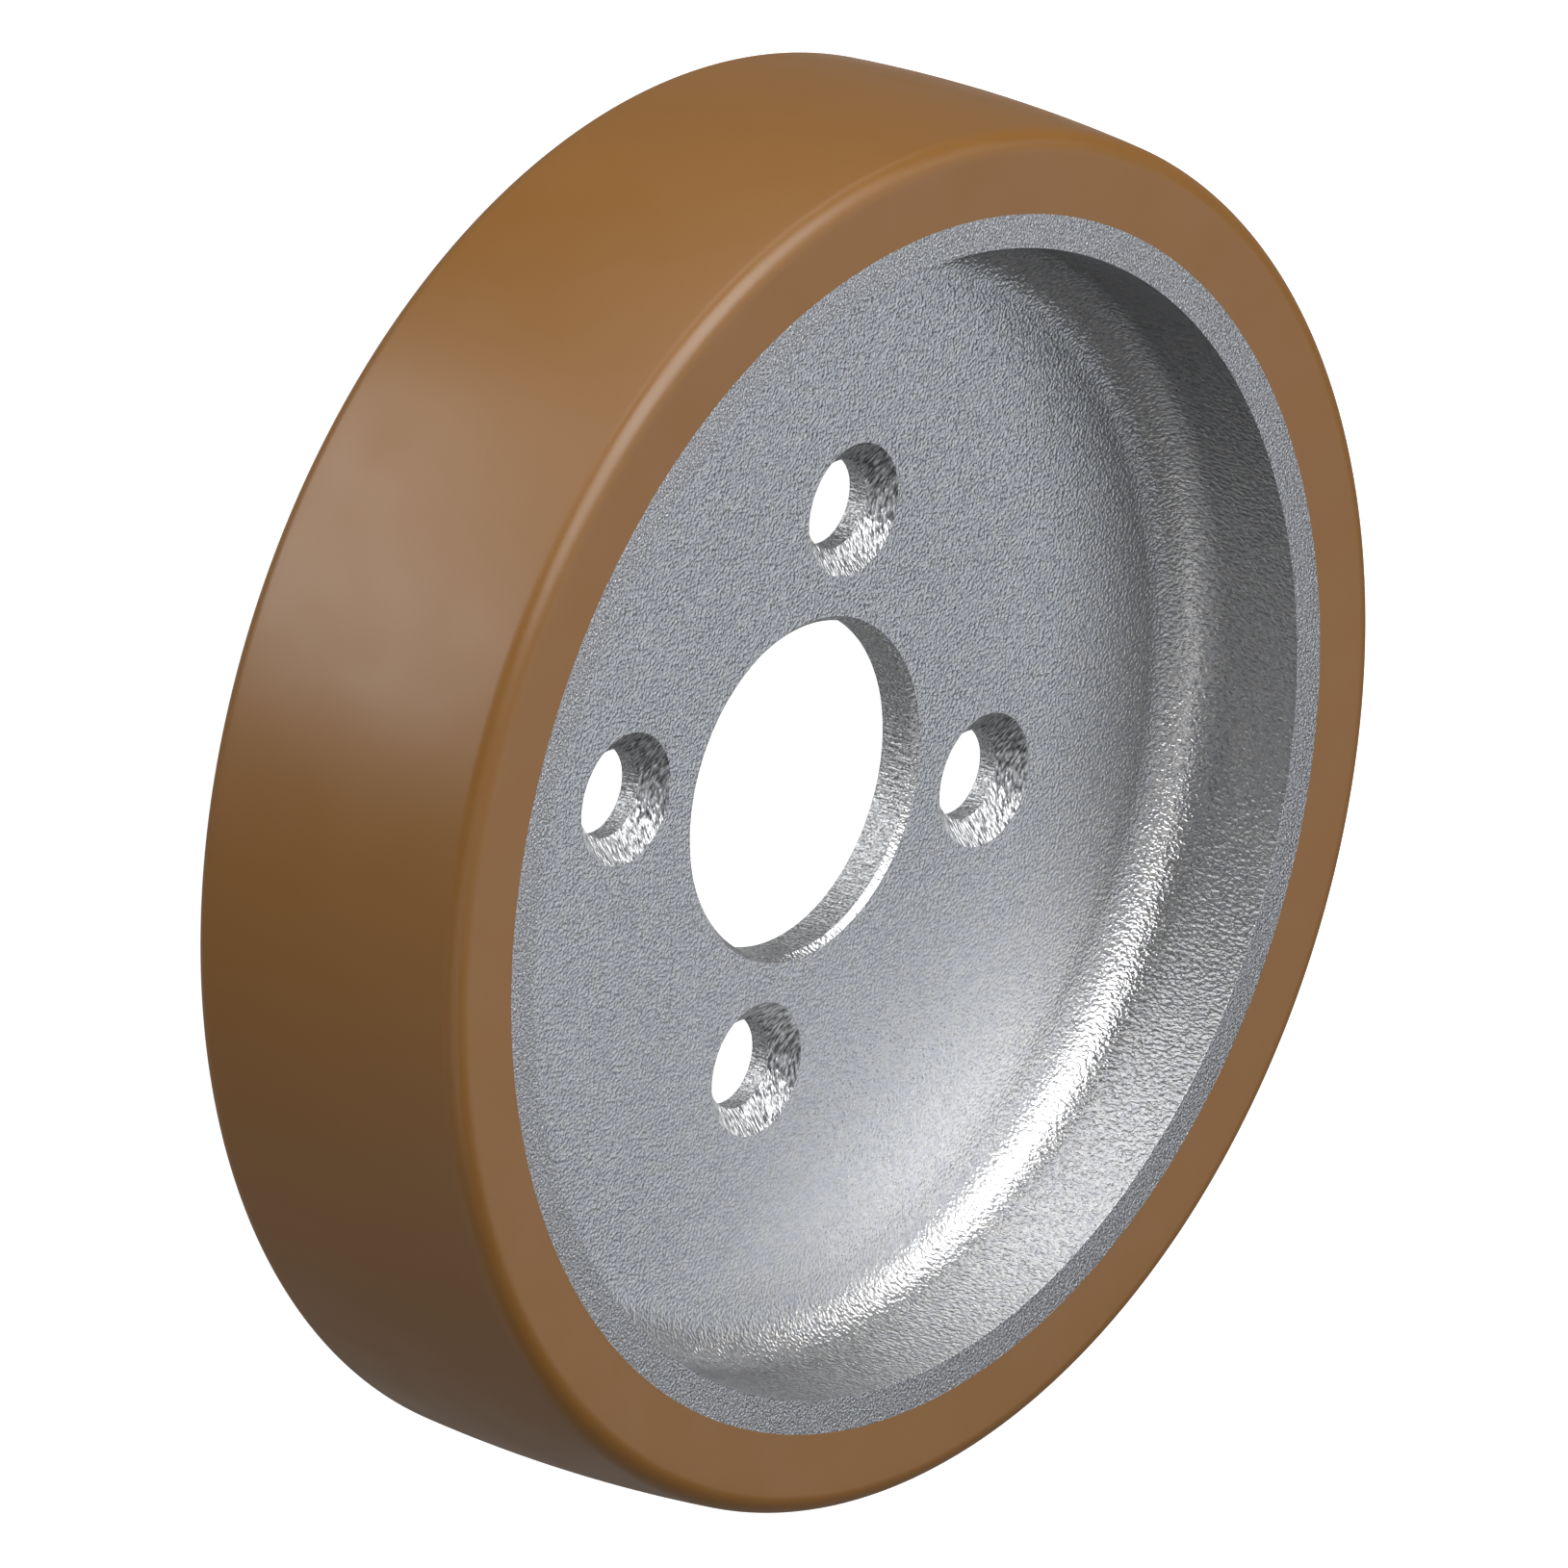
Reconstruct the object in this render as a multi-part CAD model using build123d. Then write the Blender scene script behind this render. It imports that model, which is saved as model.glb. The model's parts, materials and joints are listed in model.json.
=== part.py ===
from build123d import *
import math
import os

# Bolt-on drive wheel: an iron casting with a polyurethane tread bonded round its rim.
# The wheel lies on its plain end. Its axis is Z, the origin is at its middle, and the
# dished side with the countersinks faces +Z. All lengths are in millimetres.

# Tread
wheel_diameter = 250.0
wheel_width = 60.0
tread_thickness = 16.0
tread_crown = 1.5  # fall of the running face from the middle to each side
tread_edge_radius = 4.0

# Rim and dish
rim_wall = 6.1  # width of the ring that shows at each end
dish_depth = 25.0  # from the open end down to the web
web_thickness = 8.0
wall_draft = 1.5  # degrees, so that the casting leaves its mould
corner_radius = 10.0  # between the wall and the web, on both sides

# Hub fitting
bore_diameter = 60.0
bore_chamfer = 1.0
hole_count = 4
pitch_circle_diameter = 100.0
hole_diameter = 16.0
countersink_diameter = 24.0
countersink_angle = 90.0

# Machined corners that are only broken, not chamfered to size
edge_break = 0.4

# Derived sizes
wheel_radius = wheel_diameter / 2
rim_radius = wheel_radius - tread_thickness
mouth_radius = rim_radius - rim_wall
bore_radius = bore_diameter / 2
front_end = wheel_width / 2
rear_end = -wheel_width / 2
web_front = front_end - dish_depth
web_rear = web_front - web_thickness
draft_slope = math.tan(math.radians(wall_draft))
front_foot_radius = mouth_radius - (front_end - web_front) * draft_slope
rear_foot_radius = mouth_radius - (web_rear - rear_end) * draft_slope


def nearest_corner(section, radius, height):
    """The corner of a half section that lies at this radius and height."""
    corner = Vector(radius, height, 0)
    return section.vertices().sort_by(lambda vertex: (Vector(*vertex) - corner).length)[0]


def make_tread():
    """Ring of polyurethane: flat sides, rounded edges and a running face that is one shallow arc."""
    side_radius = wheel_radius - tread_crown
    with BuildPart() as tread:
        with BuildSketch(Plane.XZ) as section:
            with BuildLine():
                Line((rim_radius, rear_end), (side_radius, rear_end))
                ThreePointArc((side_radius, rear_end), (wheel_radius, 0), (side_radius, front_end))
                Line((side_radius, front_end), (rim_radius, front_end))
                Line((rim_radius, front_end), (rim_radius, rear_end))
            make_face()
            edges_of_face = [nearest_corner(section, side_radius, end) for end in (rear_end, front_end)]
            fillet(edges_of_face, tread_edge_radius)
        revolve(axis=Axis.Z)
    return tread.part


def make_blank():
    """The turned casting: rim, drafted walls, filleted corners, web and chamfered bore."""
    with BuildPart() as blank:
        with BuildSketch(Plane.XZ) as section:
            with BuildLine():
                Polyline(
                    (rim_radius, front_end),
                    (mouth_radius, front_end),
                    (front_foot_radius, web_front),
                    (bore_radius, web_front),
                    (bore_radius, web_rear),
                    (rear_foot_radius, web_rear),
                    (mouth_radius, rear_end),
                    (rim_radius, rear_end),
                    close=True,
                )
            make_face()
            fillet(nearest_corner(section, front_foot_radius, web_front), corner_radius)
            fillet(nearest_corner(section, rear_foot_radius, web_rear), corner_radius)
            chamfer(nearest_corner(section, bore_radius, web_front), bore_chamfer)
            chamfer(nearest_corner(section, bore_radius, web_rear), edge_break)
            chamfer(nearest_corner(section, mouth_radius, front_end), edge_break)
            chamfer(nearest_corner(section, mouth_radius, rear_end), edge_break)
        revolve(axis=Axis.Z)
    return blank.part


def make_hole_cutter():
    """Half section of one bolt hole, turned about its own axis: countersink, hole, broken rear edge."""
    hole_radius = hole_diameter / 2
    sink_radius = countersink_diameter / 2
    sink_depth = (sink_radius - hole_radius) / math.tan(math.radians(countersink_angle / 2))
    with BuildPart() as cutter:
        with BuildSketch(Plane.XZ):
            with BuildLine():
                Polyline(
                    (0, web_front),
                    (sink_radius, web_front),
                    (hole_radius, web_front - sink_depth),
                    (hole_radius, web_rear + edge_break),
                    (hole_radius + edge_break, web_rear),
                    (0, web_rear),
                    close=True,
                )
            make_face()
        revolve(axis=Axis.Z)
    return cutter.part


def make_wheel_centre():
    """The casting with its ring of countersunk bolt holes."""
    centre = make_blank()
    cutter = make_hole_cutter()
    for place in PolarLocations(pitch_circle_diameter / 2, hole_count):
        centre -= place * cutter
    return centre


os.makedirs("parts", exist_ok=True)
export_step(make_wheel_centre(), "parts/wheel_centre.step")
export_step(make_tread(), "parts/tread.step")
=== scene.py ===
import json
import math
import bmesh
import bpy
import numpy as np
from mathutils import Matrix, Vector


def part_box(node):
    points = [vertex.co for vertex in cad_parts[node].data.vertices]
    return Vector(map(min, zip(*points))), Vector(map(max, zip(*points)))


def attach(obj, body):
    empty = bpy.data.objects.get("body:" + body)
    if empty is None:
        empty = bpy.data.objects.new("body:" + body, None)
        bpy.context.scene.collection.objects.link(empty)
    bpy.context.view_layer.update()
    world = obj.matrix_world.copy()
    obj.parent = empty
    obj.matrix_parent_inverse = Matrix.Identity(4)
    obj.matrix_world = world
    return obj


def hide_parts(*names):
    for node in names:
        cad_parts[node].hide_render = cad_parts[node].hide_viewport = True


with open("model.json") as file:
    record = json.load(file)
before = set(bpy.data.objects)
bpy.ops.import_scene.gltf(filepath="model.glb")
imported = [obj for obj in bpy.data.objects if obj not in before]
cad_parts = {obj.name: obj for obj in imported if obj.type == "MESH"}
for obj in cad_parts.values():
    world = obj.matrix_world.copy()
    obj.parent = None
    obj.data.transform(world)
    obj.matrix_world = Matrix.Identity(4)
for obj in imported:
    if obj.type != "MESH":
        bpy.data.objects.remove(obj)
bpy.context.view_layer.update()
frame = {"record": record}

# Bolt-on drive wheel, lying flat with its dished side up. Metres throughout, Z is the wheel's axis.
mm = 0.001
mounts = {mount["name"]: mount for mount in frame["record"]["mounts"]}
wheelDiameter, _, wheelWidth = frame["record"]["size"]["bbox_m"]
wheelRadius = wheelDiameter / 2
frontEnd = wheelWidth / 2
rearEnd = -wheelWidth / 2
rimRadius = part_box("wheel_centre")[1].x
turnSteps = 384  # faces round the wheel; a quarter of them meets each bolt hole's sector
weldDistance = 0.001 * mm
sharpAngle = 25  # degrees; an edge that turns more than this stays crisp in the shading


# arc = centre + radius times (cosine, sine) of evenly spaced angles, in degrees
def arcPoints(centre, radius, startAngle, endAngle, steps):
    angles = np.radians(np.linspace(startAngle, endAngle, steps + 1))
    x = centre[0] + radius * np.cos(angles)
    y = centre[1] + radius * np.sin(angles)
    return np.stack([x, y], axis=1)


# straight = start + share times (end - start), the shares evenly spaced
def linePoints(start, end, steps):
    share = np.linspace(0, 1, steps + 1)[:, None]
    return np.array(start) + share * (np.array(end) - np.array(start))


# one outline from several stretches; each stretch gives its zone to the bands between its points
def joinStretches(stretches):
    points = [stretches[0][1][:1]]
    zones = []
    for zone, stretch in stretches:
        points.append(stretch[1:])
        zones += [zone] * (len(stretch) - 1)
    return np.concatenate(points), np.array(zones)


# evenly spaced angles round the axis, in radians: 2 pi times number / steps
def roundAngles():
    return np.radians(np.arange(turnSteps) * 360 / turnSteps)


# turned surface: a point (r, z) of the outline at angle a goes to (x + r cos a, y + r sin a, z)
def turnOutline(outline, angles, axisAt=(0, 0)):
    radius, height = outline[:, :1], outline[:, 1:]
    x = axisAt[0] + radius * np.cos(angles)
    y = axisAt[1] + radius * np.sin(angles)
    return np.stack([x, y, height + 0 * x], axis=2)


# ruled surface: (1 - v) times the inner loop + v times the outer loop, at one height
def ruleLoops(innerLoop, outerLoop, shares, height):
    v = np.array(shares)[:, None, None]
    flat = (1 - v) * innerLoop + v * outerLoop
    return np.concatenate([flat, np.full(flat.shape[:2] + (1,), height)], axis=2)


# collects grids whose columns run round a closed loop, and makes one welded mesh of them: each
# quad joins point (row, column) to its neighbours in the next column and the next row
def buildMesh(name, grids, materials):
    corners, faces, faceZones = [], [], []
    offset = 0
    for grid, zones in grids:
        rows, columns = grid.shape[:2]
        index = offset + np.arange(rows * columns).reshape(rows, columns)
        following = np.roll(index, -1, axis=1)
        quads = np.stack([index[:-1], following[:-1], following[1:], index[1:]], axis=2)
        corners.append(grid.reshape(-1, 3))
        faces.append(quads.reshape(-1, 4))
        faceZones.append(np.repeat(zones, columns))
        offset += rows * columns
    mesh = bpy.data.meshes.new(name)
    mesh.from_pydata(np.concatenate(corners).tolist(), [], np.concatenate(faces).tolist())
    mesh.polygons.foreach_set("material_index", np.concatenate(faceZones).astype(np.int32))
    for material in materials:
        mesh.materials.append(material)
    work = bmesh.new()
    work.from_mesh(mesh)
    bmesh.ops.remove_doubles(work, verts=work.verts, dist=weldDistance)
    bmesh.ops.recalc_face_normals(work, faces=work.faces)
    work.to_mesh(mesh)
    work.free()
    mesh.shade_smooth()
    mesh.set_sharp_from_angle(angle=math.radians(sharpAngle))
    piece = bpy.data.objects.new(name, mesh)
    bpy.context.scene.collection.objects.link(piece)
    return piece


# sRGB hex to linear: each channel c is c / 12.92 below 0.04045, else ((c + 0.055) / 1.055) ** 2.4
def hexColour(code):
    channels = np.array([int(code[i:i + 2], 16) for i in (1, 3, 5)]) / 255
    bright = ((channels + 0.055) / 1.055) ** 2.4
    linear = np.where(channels <= 0.04045, channels / 12.92, bright)
    return (*linear.tolist(), 1)


# adds one node with its properties, its input values and the sockets that feed it
def addNode(tree, kind, settings=None, values=None, links=None):
    node = tree.nodes.new(kind)
    for name, value in (settings or {}).items():
        setattr(node, name, value)
    for socket, value in (values or {}).items():
        node.inputs[socket].default_value = value
    for socket, source in (links or {}).items():
        tree.links.new(source, node.inputs[socket])
    return node


# an empty material, ready for its nodes
def newMaterial(name):
    material = bpy.data.materials.new(name)
    material.use_nodes = True
    material.node_tree.nodes.clear()
    return material


colourA, colourB, mixedColour = 6, 7, 2  # the sockets of a Mix node that belong to its colours
narrowNoise = {"From Min": 0.35, "From Max": 0.65}  # noise keeps near 0.5: these two stretch it
wideNoise = {"From Min": 0.3, "From Max": 0.7}

# Grey iron, sand cast and blasted: a soft orange peel under a millimetre across, drawn out a
# little along the axis, that breaks the light into small grains and still shows broad highlights
# on the rounded corners. The grit's own specks, about a tenth of a millimetre, would be lost in
# the picture, so they are drawn three times as coarse.
castFinish = dict(
    dark="#bfc0c3", light="#c6c6c5", tone=2.2 * mm,
    grain=0.64 * mm, stretch=1.6,
    grainHeight=0.27 * mm, steepHeight=0.42 * mm,  # on the flat web and on the walls
    heightRange=(0.1, 0.95),  # flatness, 0 on a wall and 1 on the web, between which they blend
    speck=0.3 * mm, speckHeight=0.04 * mm,
    pit=0.85, pitRange=(0.35, 0.55),  # painted shade: brightness left in the grain's pits, and their depths
    paintedSteepShade=0.9, shadeRange=(0.1, 0.6),  # painted shade: brightness left on the walls, and up to what flatness
    roughness=(0.2, 0.26), metallic=1.0,
    lean=0.0,  # how far the shading leans outward at the rim
)


# colour = tone between dark and light, times painted shade in the pits and painted shade on the
# walls; the surface is bumped by the grain over the specks
def castIronMaterial(name, look):
    material = newMaterial(name)
    tree = material.node_tree
    place = addNode(tree, "ShaderNodeTexCoord").outputs["Object"]
    drawn = addNode(tree, "ShaderNodeMapping", None,
                    {"Scale": (1, 1, 1 / look["stretch"])}, {"Vector": place})
    grain = addNode(tree, "ShaderNodeTexNoise", None,
                    {"Scale": 1 / look["grain"], "Detail": 1.5, "Roughness": 0.5},
                    {"Vector": drawn.outputs["Vector"]})
    speck = addNode(tree, "ShaderNodeTexNoise", None,
                    {"Scale": 1 / look["speck"], "Detail": 1.0, "Roughness": 0.5},
                    {"Vector": place})
    tone = addNode(tree, "ShaderNodeTexNoise", None,
                   {"Scale": 1 / look["tone"], "Detail": 2.0}, {"Vector": place})
    toneSpread = addNode(tree, "ShaderNodeMapRange", None, narrowNoise,
                         {"Value": tone.outputs["Fac"]})
    colour = addNode(tree, "ShaderNodeMix", {"data_type": "RGBA"},
                     {colourA: hexColour(look["dark"]), colourB: hexColour(look["light"])},
                     {"Factor": toneSpread.outputs["Result"]})
    smooth, rough = look["roughness"]
    roughness = addNode(tree, "ShaderNodeMapRange", None,
                        {**wideNoise, "To Min": smooth, "To Max": rough},
                        {"Value": grain.outputs["Fac"]})
    # painted shade: the low half of the grain, its pits, darkens the colour
    paintedPitShade = addNode(tree, "ShaderNodeMapRange", None,
                       {"From Min": look["pitRange"][0], "From Max": look["pitRange"][1],
                        "To Min": look["pit"]}, {"Value": grain.outputs["Fac"]})
    facing = addNode(tree, "ShaderNodeNewGeometry").outputs["Normal"]
    facingUp = addNode(tree, "ShaderNodeSeparateXYZ", None, None, {"Vector": facing}).outputs["Z"]
    flatness = addNode(tree, "ShaderNodeMath", {"operation": "ABSOLUTE"}, None, {0: facingUp})
    # the blast meets the walls at a slant and leaves them coarser than the web
    height = addNode(tree, "ShaderNodeMapRange", None,
                     {"From Min": look["heightRange"][0], "From Max": look["heightRange"][1],
                      "To Min": look["steepHeight"], "To Max": look["grainHeight"]},
                     {"Value": flatness.outputs["Value"]})
    # painted shade: the steep walls of the dishes get a darker colour than the flat web
    paintedWallShade = addNode(tree, "ShaderNodeMapRange", None,
                        {"From Min": look["shadeRange"][0], "From Max": look["shadeRange"][1],
                         "To Min": look["paintedSteepShade"]}, {"Value": flatness.outputs["Value"]})
    shade = addNode(tree, "ShaderNodeMath", {"operation": "MULTIPLY"}, None,
                    {0: paintedPitShade.outputs["Result"], 1: paintedWallShade.outputs["Result"]})
    shaded = addNode(tree, "ShaderNodeVectorMath", {"operation": "SCALE"}, None,
                     {0: colour.outputs[mixedColour], "Scale": shade.outputs["Value"]})
    # a lean of the normal: position times (lean, lean, 0) / radius, added to it
    perMetre = look["lean"] / rimRadius
    outward = addNode(tree, "ShaderNodeVectorMath", {"operation": "MULTIPLY"},
                      {1: (perMetre, perMetre, 0)}, {0: place})
    leaning = addNode(tree, "ShaderNodeVectorMath", {"operation": "ADD"}, None,
                      {0: facing, 1: outward.outputs["Vector"]})
    speckBump = addNode(tree, "ShaderNodeBump", None,
                        {"Strength": 1.0, "Distance": look["speckHeight"]},
                        {"Height": speck.outputs["Fac"], "Normal": leaning.outputs["Vector"]})
    grainBump = addNode(tree, "ShaderNodeBump", None, {"Strength": 1.0},
                        {"Height": grain.outputs["Fac"], "Distance": height.outputs["Result"],
                         "Normal": speckBump.outputs["Normal"]})
    surface = addNode(tree, "ShaderNodeBsdfPrincipled", None, {"Metallic": look["metallic"]},
                      {"Base Color": shaded.outputs["Vector"],
                       "Roughness": roughness.outputs["Result"],
                       "Normal": grainBump.outputs["Normal"]})
    addNode(tree, "ShaderNodeOutputMaterial", None, None, {"Surface": surface.outputs["BSDF"]})
    return material


# The rim's end faces, turned flat and blasted again: the grain is finer, its grains catch more
# light, and the face is lit as if it leaned outward by about three degrees. The real grain is
# near 0.2 mm and is drawn twice as coarse, so that it shows.
ringFinish = dict(
    castFinish, dark="#9c9ea1", light="#d8d7d6", tone=0.4 * mm,
    grain=0.42 * mm, stretch=1.0, grainHeight=0.26 * mm, steepHeight=0.26 * mm,
    speck=0.3 * mm, speckHeight=0.08 * mm,
    pit=1.0, paintedSteepShade=1.0, lean=0.05,
)

# Drilled and turned iron: brighter than the cast skin, with short streaks along the depth of
# each hole that scatter the light in bright and dark threads. The tool's marks are near 0.2 mm
# and are drawn two to three times as coarse, so that they show.
drilledFinish = dict(
    dark="#8a8c8f", light="#d6d7d8",
    streak=0.6 * mm, stretch=(1, 1, 0.2), streakHeight=0.38 * mm,
    fine=0.45 * mm, fineStretch=(1, 1, 1), fineHeight=0.18 * mm,
    roughness=(0.4, 0.52), metallic=1.0,
)

# The countersinks: the tool chattered, so the streaks lie across the slope and are deeper, with
# bright and dark strokes side by side, and the skin between them is smoother.
sinkFinish = dict(
    drilledFinish, dark="#6c6e71", light="#e6e6e7",
    streak=0.5 * mm, stretch=(1, 0.15, 0.15), streakHeight=1.0 * mm,
    fine=0.35 * mm, fineStretch=(1, 0.25, 0.25), fineHeight=0.2 * mm,
    roughness=(0.27, 0.36),
)


# two stretched noises bump the surface, the streaks over the fine marks, which also set the tone
def drilledIronMaterial(name, look):
    material = newMaterial(name)
    tree = material.node_tree
    place = addNode(tree, "ShaderNodeTexCoord").outputs["Object"]
    stretch = addNode(tree, "ShaderNodeMapping", None,
                      {"Scale": look["stretch"]}, {"Vector": place})
    fineStretch = addNode(tree, "ShaderNodeMapping", None,
                          {"Scale": look["fineStretch"]}, {"Vector": place})
    streak = addNode(tree, "ShaderNodeTexNoise", None,
                     {"Scale": 1 / look["streak"], "Detail": 2.0},
                     {"Vector": stretch.outputs["Vector"]})
    fine = addNode(tree, "ShaderNodeTexNoise", None,
                   {"Scale": 1 / look["fine"], "Detail": 1.0},
                   {"Vector": fineStretch.outputs["Vector"]})
    toneSpread = addNode(tree, "ShaderNodeMapRange", None, narrowNoise,
                         {"Value": fine.outputs["Fac"]})
    colour = addNode(tree, "ShaderNodeMix", {"data_type": "RGBA"},
                     {colourA: hexColour(look["dark"]), colourB: hexColour(look["light"])},
                     {"Factor": toneSpread.outputs["Result"]})
    smooth, rough = look["roughness"]
    roughness = addNode(tree, "ShaderNodeMapRange", None,
                        {**wideNoise, "To Min": smooth, "To Max": rough},
                        {"Value": streak.outputs["Fac"]})
    fineBump = addNode(tree, "ShaderNodeBump", None,
                       {"Strength": 1.0, "Distance": look["fineHeight"]},
                       {"Height": fine.outputs["Fac"]})
    streakBump = addNode(tree, "ShaderNodeBump", None,
                         {"Strength": 1.0, "Distance": look["streakHeight"]},
                         {"Height": streak.outputs["Fac"], "Normal": fineBump.outputs["Normal"]})
    surface = addNode(tree, "ShaderNodeBsdfPrincipled", None, {"Metallic": look["metallic"]},
                      {"Base Color": colour.outputs[mixedColour],
                       "Roughness": roughness.outputs["Result"],
                       "Normal": streakBump.outputs["Normal"]})
    addNode(tree, "ShaderNodeOutputMaterial", None, None, {"Surface": surface.outputs["BSDF"]})
    return material


# Cast polyurethane, moulded against a smooth tool: an even ochre brown with a satin sheen, a slow
# drift of tone where the resin cured unevenly and hardly any grain. The mould's own grain, well
# under a tenth of a millimetre, is drawn at half a millimetre.
treadFinish = dict(
    dark="#724a11", light="#774e14", drift=38 * mm,
    grain=0.5 * mm, grainHeight=0.004 * mm, wave=14 * mm, waveHeight=0.02 * mm,
    roughness=(0.36, 0.42), metallic=0.0, ior=1.5, specular=0.67,
)


# one slow noise drifts the colour, one wave varies the gloss, and two low bumps stay nearly smooth
def polyurethaneMaterial(name, look):
    material = newMaterial(name)
    tree = material.node_tree
    place = addNode(tree, "ShaderNodeTexCoord").outputs["Object"]
    drift = addNode(tree, "ShaderNodeTexNoise", None,
                    {"Scale": 1 / look["drift"], "Detail": 2.0}, {"Vector": place})
    grain = addNode(tree, "ShaderNodeTexNoise", None,
                    {"Scale": 1 / look["grain"], "Detail": 1.0}, {"Vector": place})
    wave = addNode(tree, "ShaderNodeTexNoise", None,
                   {"Scale": 1 / look["wave"], "Detail": 1.0}, {"Vector": place})
    colour = addNode(tree, "ShaderNodeMix", {"data_type": "RGBA"},
                     {colourA: hexColour(look["dark"]), colourB: hexColour(look["light"])},
                     {"Factor": drift.outputs["Fac"]})
    smooth, rough = look["roughness"]
    roughness = addNode(tree, "ShaderNodeMapRange", None,
                        {**wideNoise, "To Min": smooth, "To Max": rough},
                        {"Value": wave.outputs["Fac"]})
    grainBump = addNode(tree, "ShaderNodeBump", None,
                        {"Strength": 1.0, "Distance": look["grainHeight"]},
                        {"Height": grain.outputs["Fac"]})
    waveBump = addNode(tree, "ShaderNodeBump", None,
                       {"Strength": 1.0, "Distance": look["waveHeight"]},
                       {"Height": wave.outputs["Fac"], "Normal": grainBump.outputs["Normal"]})
    surface = addNode(tree, "ShaderNodeBsdfPrincipled", None,
                      {"Metallic": look["metallic"], "IOR": look["ior"],
                       "Specular IOR Level": look["specular"]},
                      {"Base Color": colour.outputs[mixedColour],
                       "Roughness": roughness.outputs["Result"],
                       "Normal": waveBump.outputs["Normal"]})
    addNode(tree, "ShaderNodeOutputMaterial", None, None, {"Surface": surface.outputs["BSDF"]})
    return material


castIron = castIronMaterial("castIronBlasted", castFinish)
ringIron = castIronMaterial("castIronTurnedFace", ringFinish)
drilledIron = drilledIronMaterial("castIronDrilled", drilledFinish)
sinkIron = drilledIronMaterial("castIronCountersunk", sinkFinish)
polyurethane = polyurethaneMaterial("polyurethaneMoulded", treadFinish)
print("finishes made")


# The wheel centre is one casting: rim, dish, web, bore and the ring of countersunk holes.
centreShape = dict(
    rimWall=6.1 * mm,  # the ring that shows at each end
    dishDepth=25 * mm,
    webThickness=8 * mm,
    wallDraft=1.5,  # degrees
    cornerRadius=10 * mm,
    boreChamfer=1 * mm,
    edgeBreak=0.4 * mm,
    mouthBreak=0.04 * mm,  # smaller than the solid's: the photograph shows this edge almost sharp
    sinkRadius=12 * mm,
    wallSteps=6,
    ringSteps=4,
    cornerSteps=28,
    chamferSteps=3,
    boreSteps=8,
    sinkSteps=8,
    holeSteps=6,
    spokeSteps=24,  # faces along each line between two sectors of the web
    webShares=(0, 0.04, 0.2, 0.4, 0.6, 0.8, 0.94, 0.985, 1),  # rows of faces, hole to sector's edge
)


# the drafted wall, the rounded corner and the web's tangent point, seen from an open end:
# the corner's centre is one radius in from the wall and one radius above the web
def dishCorner(shape, openEnd, webHeight):
    side = 1 if openEnd > webHeight else -1
    draft = math.radians(shape["wallDraft"])
    radius = shape["cornerRadius"]
    centreHeight = webHeight + side * radius
    mouth = rimRadius - shape["rimWall"]
    wallFall = abs(openEnd - centreHeight) * math.tan(draft)
    centreRadius = mouth - wallFall - radius / math.cos(draft)
    arc = arcPoints((centreRadius, centreHeight), radius, -side * math.degrees(draft), -side * 90,
                    shape["cornerSteps"])
    edge = shape["mouthBreak"]
    breakEnd = (mouth - edge * math.tan(draft), openEnd - side * edge)
    breakStart = (mouth + edge, openEnd)
    return breakStart, breakEnd, arc


# outline of one square-edged sector of the web, round the bolt hole on the X axis: inner arc,
# spoke, outer arc, spoke, as an open list whose end runs into its start
def sectorLoop(innerRadius, outerRadius, shape):
    quarter, half = turnSteps // 4, 45  # a quarter of the faces, and half its angle in degrees
    inner = arcPoints((0, 0), innerRadius, -half, half, quarter)
    outer = arcPoints((0, 0), outerRadius, half, -half, quarter)
    spokeOut = linePoints(inner[-1], outer[0], shape["spokeSteps"])
    spokeBack = linePoints(outer[-1], inner[0], shape["spokeSteps"])
    return np.concatenate([inner[:-1], spokeOut[:-1], outer[:-1], spokeBack[:-1]])


# flat points (x, y) turned about the wheel's axis: (x cos a - y sin a, x sin a + y cos a)
def turned(points, angle):
    cosine, sine = math.cos(angle), math.sin(angle)
    return points @ np.array([[cosine, sine], [-sine, cosine]])


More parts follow.
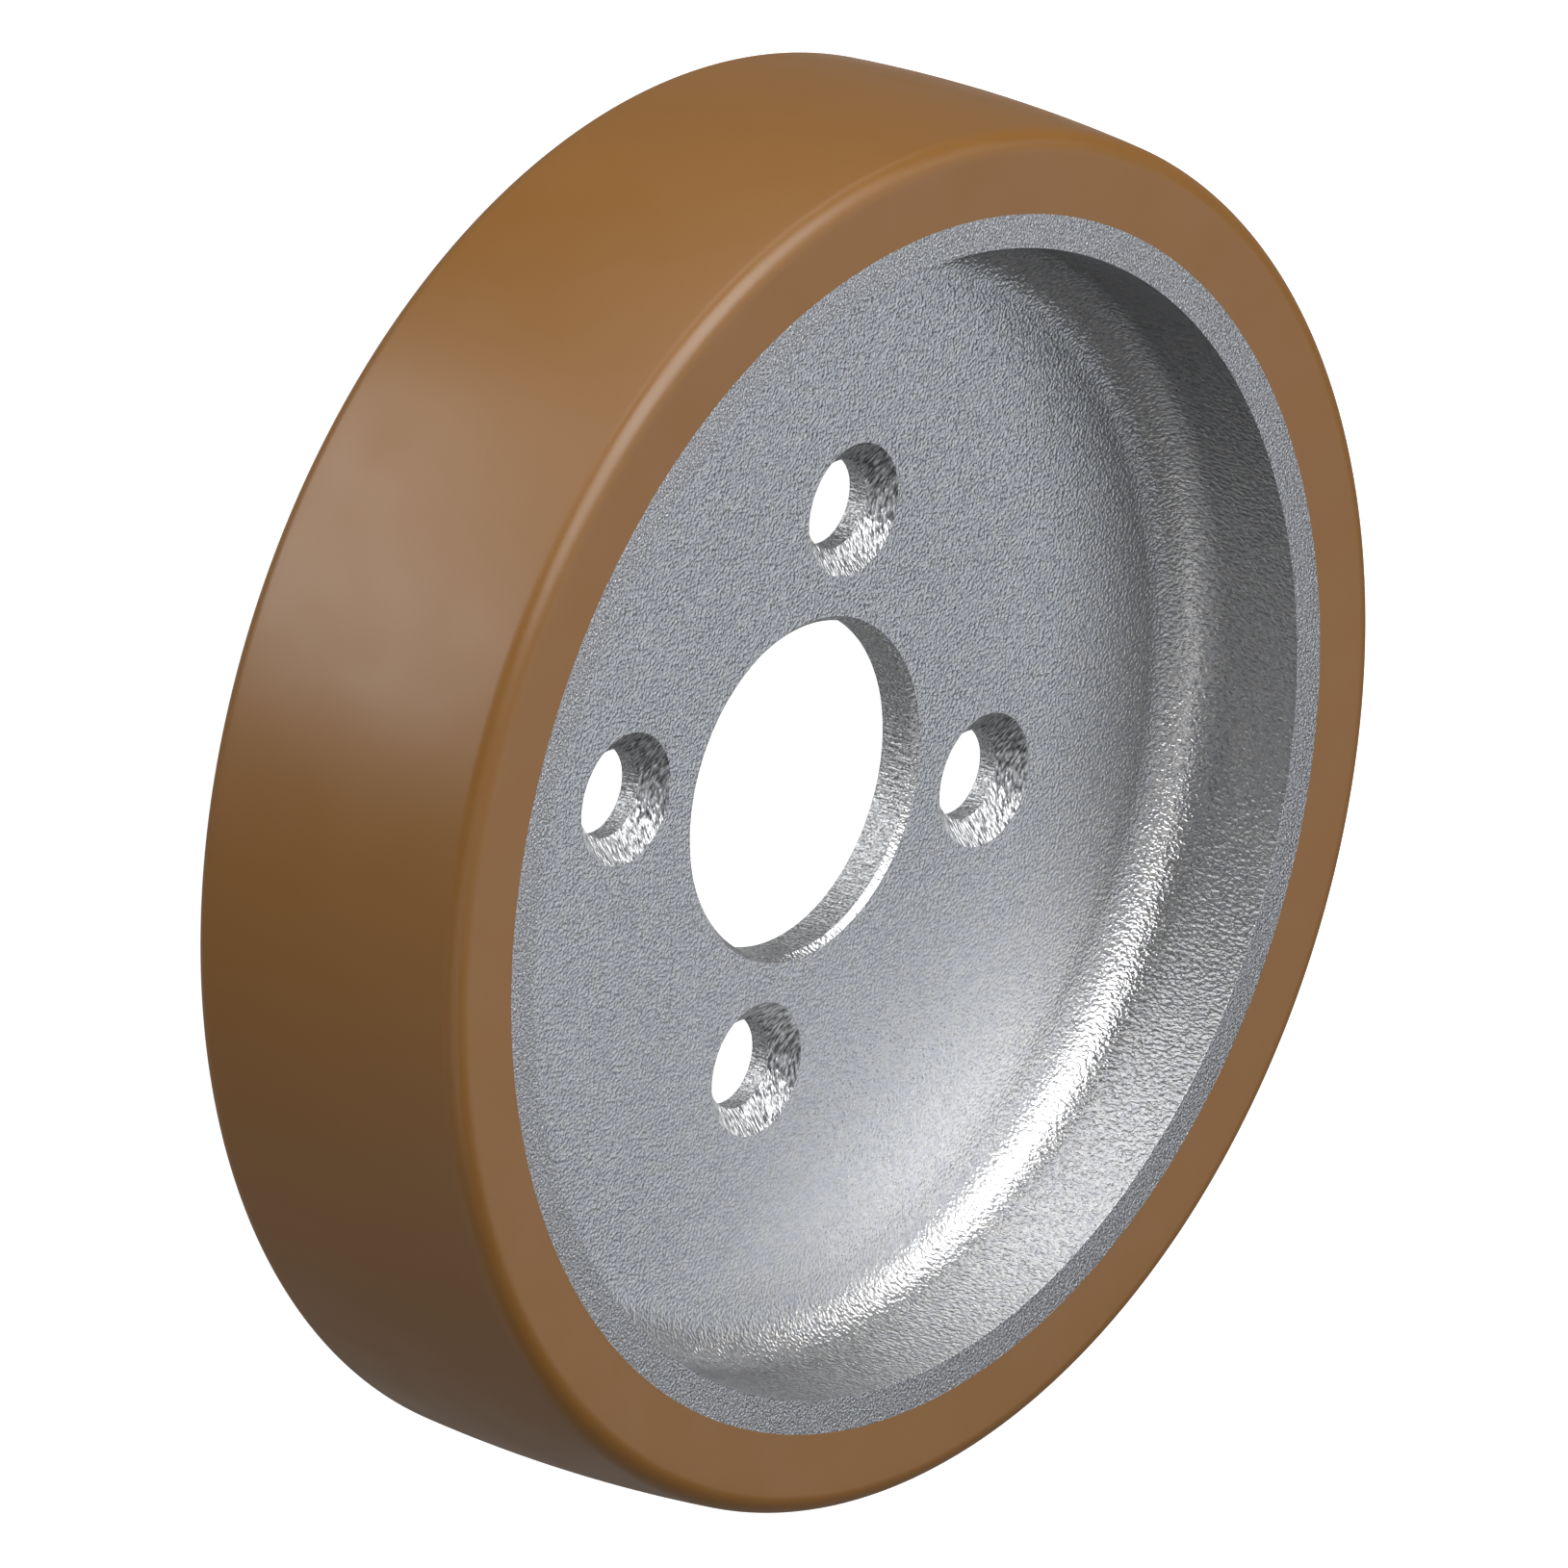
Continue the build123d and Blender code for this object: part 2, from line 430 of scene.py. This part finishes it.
# The rim with its two dishes and the bore are turned outlines. The web between them is one sector
# for each bolt hole, ruled from the hole's edge to the sector's, and each hole is turned round its
# own axis.
def makeWheelCentre(shape):
    skin, ring, drilled, sunk = 0, 1, 2, 3  # places of the four materials on the piece
    bore, bolts = mounts["hub_bore"]["dims"], mounts["bolts"]["dims"]
    boreRadius = bore["r_mm"] * mm
    holeRadius = bolts["hole_r_mm"] * mm
    pitchRadius = bolts["pcd_mm"] * mm / 2
    edge = shape["edgeBreak"]
    webFront = frontEnd - shape["dishDepth"]
    webRear = webFront - shape["webThickness"]
    chamferRadius = boreRadius + shape["boreChamfer"]
    rearRadius = boreRadius + edge

    frontStart, frontBreak, frontArc = dishCorner(shape, frontEnd, webFront)
    rearStart, rearBreak, rearArc = dishCorner(shape, rearEnd, webRear)
    ringSteps, wallSteps = shape["ringSteps"], shape["wallSteps"]
    shell, shellZones = joinStretches([
        (skin, rearArc[::-1]),
        (skin, linePoints(rearArc[0], rearBreak, wallSteps)),
        (ring, linePoints(rearBreak, rearStart, 1)),
        (ring, linePoints(rearStart, (rimRadius, rearEnd), ringSteps)),
        (skin, linePoints((rimRadius, rearEnd), (rimRadius, frontEnd), ringSteps)),
        (ring, linePoints((rimRadius, frontEnd), frontStart, ringSteps)),
        (ring, linePoints(frontStart, frontBreak, 1)),
        (skin, linePoints(frontBreak, frontArc[0], wallSteps)),
        (skin, frontArc),
    ])
    boreTop, boreFoot = webFront - shape["boreChamfer"], webRear + edge
    boreLine, boreZones = joinStretches([
        (skin, linePoints((chamferRadius, webFront), (boreRadius, boreTop),
                          shape["chamferSteps"])),
        (drilled, linePoints((boreRadius, boreTop), (boreRadius, boreFoot), shape["boreSteps"])),
        (drilled, linePoints((boreRadius, boreFoot), (rearRadius, webRear), 1)),
    ])
    # the countersink is 90 degrees, so it is as deep as it is wide
    sinkRadius, holeTop = shape["sinkRadius"], webFront - (shape["sinkRadius"] - holeRadius)
    holeLine, holeZones = joinStretches([
        (sunk, linePoints((sinkRadius, webFront), (holeRadius, holeTop), shape["sinkSteps"])),
        (drilled, linePoints((holeRadius, holeTop), (holeRadius, boreFoot), shape["holeSteps"])),
        (drilled, linePoints((holeRadius, boreFoot), (holeRadius + edge, webRear), 1)),
    ])
    angles = roundAngles()
    grids = [(turnOutline(shell, angles), shellZones), (turnOutline(boreLine, angles), boreZones)]

    frontLoop = sectorLoop(chamferRadius, frontArc[-1][0], shape)
    rearLoop = sectorLoop(rearRadius, rearArc[-1][0], shape)
    holeCentre = np.array([pitchRadius, 0])
    outward = frontLoop - holeCentre
    holeAngles = np.arctan2(outward[:, 1], outward[:, 0])
    rayDirections = np.stack([np.cos(holeAngles), np.sin(holeAngles)], axis=1)
    webZones = np.full(len(shape["webShares"]) - 1, skin)
    for number in range(bolts["count"]):
        angle = 2 * math.pi * number / bolts["count"]
        centre = turned(holeCentre, angle)
        sinkLoop = turned(holeCentre + sinkRadius * rayDirections, angle)
        exitLoop = turned(holeCentre + (holeRadius + edge) * rayDirections, angle)
        front = ruleLoops(sinkLoop, turned(frontLoop, angle), shape["webShares"], webFront)
        rear = ruleLoops(exitLoop, turned(rearLoop, angle), shape["webShares"], webRear)
        hole = turnOutline(holeLine, holeAngles + angle, centre)
        grids += [(front, webZones), (rear, webZones), (hole, holeZones)]
    piece = buildMesh("wheelCentre", grids, [castIron, ringIron, drilledIron, sinkIron])
    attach(piece, "root")
    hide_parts("wheel_centre")
    return piece


wheelCentre = makeWheelCentre(centreShape)
print("wheel centre made:", len(wheelCentre.data.polygons), "faces")


# The tread is one ring, bonded to the rim, with rounded edges and a slightly crowned face.
treadShape = dict(
    crown=1.5 * mm,  # fall of the running face from the middle to each side
    edgeRadius=4 * mm,
    crownSteps=48,
    edgeSteps=18,
    sideSteps=4,
)


# The running face is an arc of radius (h * h + c * c) / 2c, for half width h and crown c. Each edge
# is a small arc that touches it from inside and also touches the flat side.
def makeTread(shape):
    crown, edge = shape["crown"], shape["edgeRadius"]
    crownSteps, edgeSteps, sideSteps = (shape[part + "Steps"] for part in ("crown", "edge", "side"))
    crownRadius = (frontEnd ** 2 + crown ** 2) / (2 * crown)
    crownCentre = wheelRadius - crownRadius
    edgeHeight = frontEnd - edge
    edgeCentre = crownCentre + math.sqrt((crownRadius - edge) ** 2 - edgeHeight ** 2)
    meeting = math.degrees(math.asin(edgeHeight / (crownRadius - edge)))
    moulded = 0  # the only material on the piece
    outline, zones = joinStretches([
        (moulded, linePoints((rimRadius, rearEnd), (edgeCentre, rearEnd), sideSteps)),
        (moulded, arcPoints((edgeCentre, -edgeHeight), edge, -90, -meeting, edgeSteps)),
        (moulded, arcPoints((crownCentre, 0), crownRadius, -meeting, meeting, crownSteps)),
        (moulded, arcPoints((edgeCentre, edgeHeight), edge, meeting, 90, edgeSteps)),
        (moulded, linePoints((edgeCentre, frontEnd), (rimRadius, frontEnd), sideSteps)),
        (moulded, linePoints((rimRadius, frontEnd), (rimRadius, rearEnd), sideSteps)),
    ])
    piece = buildMesh("treadRing", [(turnOutline(outline, roundAngles()), zones)], [polyurethane])
    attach(piece, "root")
    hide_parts("tread")
    return piece


tread = makeTread(treadShape)
print("tread made:", len(tread.data.polygons), "faces")


# A plain studio: a pale floor, even air and soft boxes.
studio = dict(
    floorColour="#b4b4b3",
    floorRoughness=(0.6, 0.7),
    floorDrifts=3.0,  # patches of gloss in each metre
    floorSpecular=0.2,
    glowColour="#ffffff",
    floorGlow=1.0,
    floorSize=3.0,
    floorGap=0.1 * mm,  # keeps the floor off the rim's end face, which would flicker through it
    worldColour="#ffffff",
    worldStrength=0.16,
    worldBelow=0.245,  # strength under the horizon
    horizonBlend=0.1,  # the view's height, below and above 0, between which the two strengths meet
)


# a flat square just under the wheel, made white by a glow of its own
def makeFloor(look):
    material = newMaterial("paleFloor")
    tree = material.node_tree
    place = addNode(tree, "ShaderNodeTexCoord").outputs["Object"]
    drift = addNode(tree, "ShaderNodeTexNoise", None,
                    {"Scale": look["floorDrifts"], "Detail": 2.0}, {"Vector": place})
    smooth, rough = look["floorRoughness"]
    roughness = addNode(tree, "ShaderNodeMapRange", None, {"To Min": smooth, "To Max": rough},
                        {"Value": drift.outputs["Fac"]})
    surface = addNode(tree, "ShaderNodeBsdfPrincipled", None,
                      {"Base Color": hexColour(look["floorColour"]),
                       "Specular IOR Level": look["floorSpecular"],
                       "Emission Color": hexColour(look["glowColour"]),
                       "Emission Strength": look["floorGlow"]},
                      {"Roughness": roughness.outputs["Result"]})
    addNode(tree, "ShaderNodeOutputMaterial", None, None, {"Surface": surface.outputs["BSDF"]})
    half = look["floorSize"] / 2
    level = rearEnd - look["floorGap"]
    mesh = bpy.data.meshes.new("floor")
    mesh.from_pydata([(-half, -half, level), (half, -half, level), (half, half, level),
                      (-half, half, level)], [], [(0, 1, 2, 3)])
    mesh.materials.append(material)
    floor = bpy.data.objects.new("floor", mesh)
    bpy.context.scene.collection.objects.link(floor)
    # the wheel is lit as if it hung free: the floor shows in the picture but sends it no light
    floor.visible_glossy = floor.visible_diffuse = floor.visible_shadow = False
    return floor


# a direction from its azimuth, measured from +X towards +Y, and its elevation, both in degrees
def direction(azimuth, elevation):
    a, e = math.radians(azimuth), math.radians(elevation)
    return Vector((math.cos(a) * math.cos(e), math.sin(a) * math.cos(e), math.sin(e)))


# even air, a little stronger below the horizon, where it lifts the shadow side of the tread
def makeWorld(look):
    world = bpy.data.worlds.new("studioAir")
    world.use_nodes = True
    tree = world.node_tree
    background = tree.nodes["Background"]
    background.inputs["Color"].default_value = hexColour(look["worldColour"])
    view = addNode(tree, "ShaderNodeTexCoord").outputs["Generated"]
    height = addNode(tree, "ShaderNodeSeparateXYZ", None, None, {"Vector": view}).outputs["Z"]
    strength = addNode(tree, "ShaderNodeMapRange", None,
                       {"From Min": -look["horizonBlend"], "From Max": look["horizonBlend"],
                        "To Min": look["worldBelow"], "To Max": look["worldStrength"]},
                       {"Value": height})
    tree.links.new(strength.outputs["Result"], background.inputs["Strength"])
    bpy.context.scene.world = world


# Oval soft boxes, aimed at the wheel. The spread is the half width and the half height, in degrees
# as the wheel sees them. The six below the horizon shine up through the floor, which stops no
# light: they draw the sheen on the tread and fill the shadow side.
softboxes = {
    "keyBox": dict(azimuth=107, elevation=41, spread=(33, 26), brightness=4.6),
    "webBox": dict(azimuth=355, elevation=56, spread=(20, 28), brightness=0.9, colour="#f0f5ff"),
    "topBox": dict(azimuth=40, elevation=38, spread=(14, 12), brightness=1.0),
    "crownBox": dict(azimuth=72, elevation=66, spread=(22, 12), brightness=0.75),
    "zenithBox": dict(azimuth=235, elevation=78, spread=(20, 14), brightness=0.4),
    "sideBox": dict(azimuth=213, elevation=41, spread=(26, 18), brightness=0.7),
    "lowBox": dict(azimuth=110, elevation=-14, spread=(46, 10), brightness=2.0),
    "sheenBox": dict(azimuth=152, elevation=-44, spread=(19, 12), brightness=3.0),
    "sheenLeft": dict(azimuth=130, elevation=-40, spread=(10, 12), brightness=1.7),
    "sheenTop": dict(azimuth=165, elevation=-28, spread=(12, 10), brightness=3.75),
    "backBox": dict(azimuth=354, elevation=-46, spread=(9, 26), brightness=0.65),
    "fillBox": dict(azimuth=235, elevation=-8, spread=(45, 24), brightness=0.25),
}
boxDistance = 1.7  # metres from the wheel


# half size = distance times tan(spread); power = brightness times pi times the oval's area
def makeSoftbox(name, look):
    light = bpy.data.lights.new(name, "AREA")
    light.shape = "ELLIPSE"
    halfWidth, halfHeight = (boxDistance * math.tan(math.radians(s)) for s in look["spread"])
    light.size, light.size_y = 2 * halfWidth, 2 * halfHeight
    light.energy = look["brightness"] * math.pi * (math.pi * halfWidth * halfHeight)
    light.color = hexColour(look.get("colour", "#ffffff"))[:3]
    box = bpy.data.objects.new(name, light)
    towards = direction(look["azimuth"], look["elevation"])
    box.location = towards * boxDistance
    box.rotation_mode = "QUATERNION"
    box.rotation_quaternion = towards.to_track_quat("Z", "Y")
    box.visible_camera = False  # no box stands in the picture
    bpy.context.scene.collection.objects.link(box)
    return box


# The picture is a parallel view. Its scale and the wheel's place in it were measured in the
# photograph.
cameraView = dict(
    picturePixels=1629,
    pixelsPerMm=5.9955,
    azimuth=167.4,  # of the camera, seen from the wheel, from +X towards +Y
    elevation=36.59,
    roll=107.46,
    aimRight=0.175 * mm,
    aimUp=-0.232 * mm,
    distance=1.5,
    clip=(0.01, 10),  # nearest and farthest that it sees
)


# the camera stands back from the wheel along its own view, rolled about it, and shifts its aim
def makeCamera(look):
    camera = bpy.data.cameras.new("pictureCamera")
    camera.type = "ORTHO"
    camera.ortho_scale = look["picturePixels"] / look["pixelsPerMm"] * mm
    camera.clip_start, camera.clip_end = look["clip"]
    seat = bpy.data.objects.new("pictureCamera", camera)
    back = direction(look["azimuth"], look["elevation"])
    roll = Matrix.Rotation(math.radians(look["roll"]), 3, "Z")
    turn = back.to_track_quat("Z", "Y").to_matrix() @ roll
    right, up = turn.col[0], turn.col[1]
    place = back * look["distance"] + right * look["aimRight"] + up * look["aimUp"]
    seat.matrix_world = Matrix.Translation(place) @ turn.to_4x4()
    bpy.context.scene.collection.objects.link(seat)
    bpy.context.scene.camera = seat
    return seat


makeFloor(studio)
makeWorld(studio)
for boxName, boxLook in softboxes.items():
    makeSoftbox(boxName, boxLook)
makeCamera(cameraView)
bpy.context.scene.view_settings.view_transform = "Standard"
print("floor, lights and camera made")
